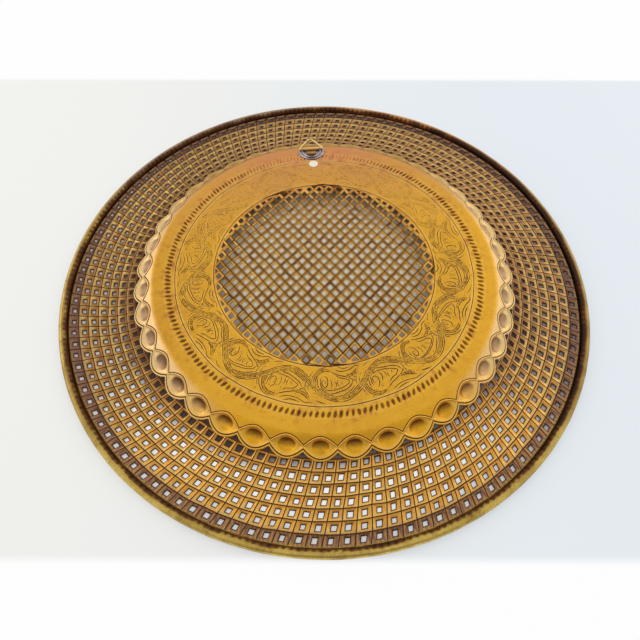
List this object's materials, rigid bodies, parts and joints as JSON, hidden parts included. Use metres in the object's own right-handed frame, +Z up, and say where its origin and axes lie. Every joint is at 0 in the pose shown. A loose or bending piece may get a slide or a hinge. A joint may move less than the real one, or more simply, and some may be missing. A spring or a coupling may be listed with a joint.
{
  "type": "pierced brass wall tray",
  "caption": "Round pierced brass wall tray lying face down, with a flat engraved base, a band of pointed ovals, a pierced flange, a wired edge and a hinged hanging ring.",
  "frame": {"origin": "centre of the tray, on the surface that its rim rests on", "axes": "+Z up, out of the tray's back; +Y towards the hanging ring"},
  "size_m": [0.5, 0.5, 0.023],
  "materials": {
    "dish_brass": "aged, toned darker brown in the piercing and the chased lines",
    "edge_wire": "plain iron wire, hidden in the rolled edge",
    "tab_brass": "aged, heat toned by soldering",
    "solder": "soft solder, dull grey",
    "ring_brass": "drawn wire, lightly polished",
    "paper": "blank cream paper"
  },
  "bodies": {
    "tray": {"pierced_dish": "dish_brass", "rim_wire": "edge_wire", "hanger_tab": "tab_brass", "solder_crescent": "solder", "paper_dot": "paper"},
    "ring": {"hanging_ring": "ring_brass"}
  },
  "joints": [
    {"name": "ring_swing", "type": "hinge", "parent": "tray", "child": "ring", "pos_m": [0, 0.157, 0.021], "axis": [1, 0, 0], "range_deg": [0, 180]}
  ]
}
